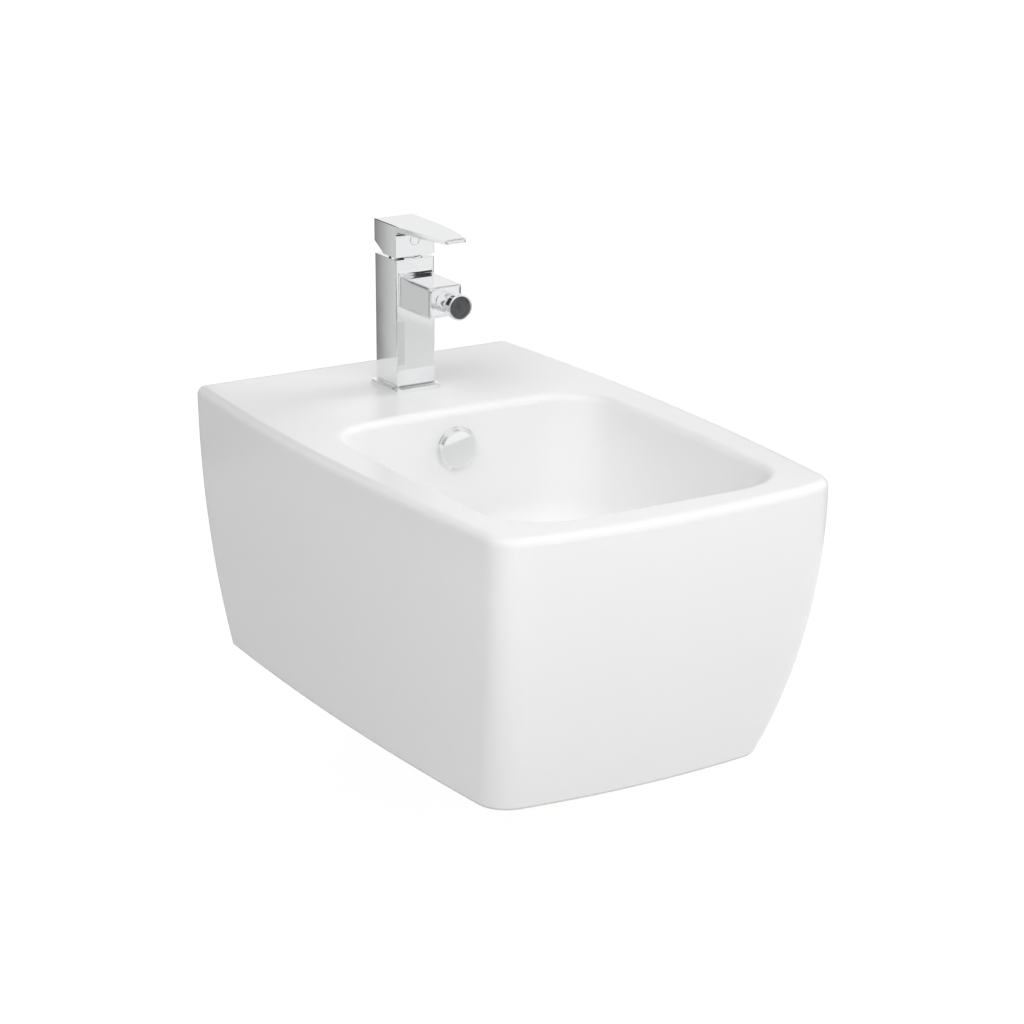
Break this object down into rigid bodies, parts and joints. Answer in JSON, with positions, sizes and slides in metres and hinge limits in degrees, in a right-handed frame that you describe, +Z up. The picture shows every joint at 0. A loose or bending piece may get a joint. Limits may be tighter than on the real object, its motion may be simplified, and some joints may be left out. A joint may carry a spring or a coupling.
{
  "type": "wall-hung bidet",
  "caption": "Wall-hung ceramic bidet with bowed tapering skirt, rounded bowl, square lever tap with ball-jointed nozzle, overflow cover and press-to-close waste.",
  "frame": {"origin": "midway between the two wall bolts, on the wall face", "axes": "+X to the right seen from the front, +Y into the wall, +Z up"},
  "size_m": [0.359, 0.5599, 0.4165],
  "materials": {
    "ceramic": "gloss white glaze",
    "chrome": "polished plating",
    "waste_chrome": "polished plating on brass",
    "brass": "machined",
    "steel": "zinc plated",
    "rubber": "matt",
    "white_plastic": "moulded",
    "grey_plastic": "moulded",
    "screen": "fine moulded mesh"
  },
  "bodies": {
    "bidet": {"ceramic_body": "ceramic", "tap_body": "chrome", "tap_base_plate": "chrome", "cartridge_dome": "chrome", "ball_collar": "chrome", "overflow_cover": "chrome", "waste_body": "waste_chrome", "cartridge_nut": "brass", "spout_nipple": "brass", "stud_nut": "brass", "back_nut": "brass", "tap_stud": "steel", "clamp_washer": "steel", "fixing_washers": "steel", "fixing_nuts": "steel", "base_seal": "rubber", "clamp_rubber": "rubber", "cartridge_seals": "rubber", "ball_seal": "rubber", "flange_seal": "rubber", "lower_seal": "rubber", "fixing_rubbers": "rubber", "fixing_sleeves": "white_plastic", "overflow_insert": "white_plastic", "click_cartridge": "white_plastic", "cartridge_body": "grey_plastic"},
    "turret": {"turret": "grey_plastic", "turret_pin": "steel"},
    "lever": {"lever_stem": "brass", "lever_handle": "chrome", "grub_screw": "steel", "indicator_cap": "chrome"},
    "seat_band": {"ball_seat": "white_plastic"},
    "nozzle": {"nozzle_ball": "brass", "nozzle_head": "chrome", "aerator_seal": "rubber", "aerator_cage": "grey_plastic", "aerator_screen": "screen"},
    "plug": {"waste_plug": "chrome", "plug_seal": "rubber"}
  },
  "joints": [
    {"name": "lever_swivel", "type": "hinge", "parent": "bidet", "child": "turret", "pos_m": [0, -0.0945, 0.208], "axis": [0, 0, 1], "range_deg": [-50, 50]},
    {"name": "lever_lift", "type": "hinge", "parent": "turret", "child": "lever", "pos_m": [0, -0.0945, 0.208], "axis": [-1, 0, 0], "range_deg": [0, 25]},
    {"name": "nozzle_turn", "type": "hinge", "parent": "bidet", "child": "seat_band", "pos_m": [0, -0.178, 0.1753], "axis": [0, 0, 1], "range_deg": [-12, 12]},
    {"name": "nozzle_tilt", "type": "hinge", "parent": "seat_band", "child": "nozzle", "pos_m": [0, -0.178, 0.1753], "axis": [1, 0, 0], "range_deg": [-12, 12]},
    {"name": "plug_press", "type": "slide", "parent": "bidet", "child": "plug", "axis": [0, 0, -1], "range_m": [0, 0.008]}
  ]
}
